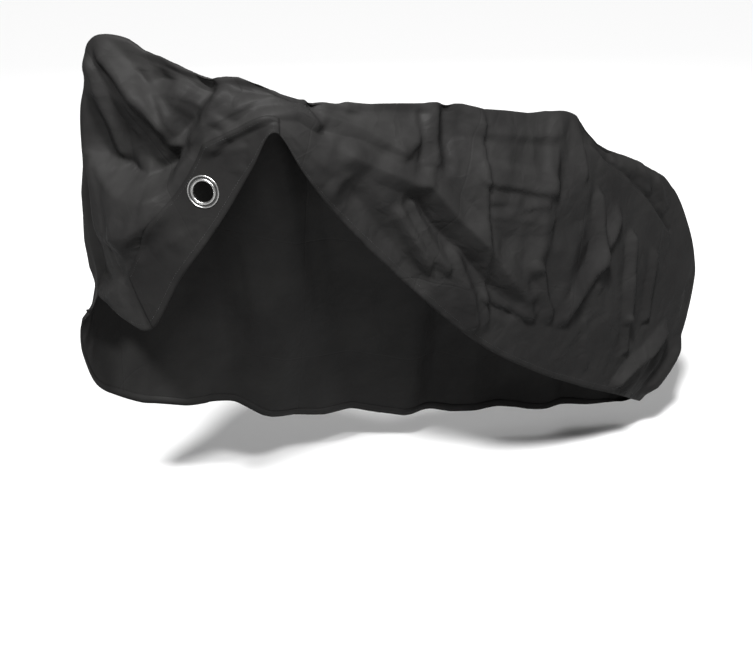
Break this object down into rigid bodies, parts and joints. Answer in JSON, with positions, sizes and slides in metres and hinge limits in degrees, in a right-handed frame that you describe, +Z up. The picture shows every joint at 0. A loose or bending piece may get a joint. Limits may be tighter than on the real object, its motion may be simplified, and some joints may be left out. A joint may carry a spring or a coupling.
{
  "type": "bicycle cover",
  "caption": "Draped bicycle cover of thin charcoal cloth, one hem lifted into an open V, with a doubled hem band that holds a metal eyelet.",
  "frame": {"origin": "underside of the cloth over the saddle, which carries the cover", "axes": "+X from nose to tail, -Y towards the side whose hem is lifted, +Z up"},
  "size_m": [1.4144, 0.4339, 1.0384],
  "materials": {
    "cover_cloth": "thin coated polyester, satin, creased",
    "band_cloth": "doubled coated polyester, stitched",
    "eyelet_metal": "bright nickel plate"
  },
  "bodies": {
    "root": {"cover": "cover_cloth", "hem_band": "band_cloth", "eyelet": "eyelet_metal", "eyelet_washer": "eyelet_metal"}
  },
  "joints": []
}
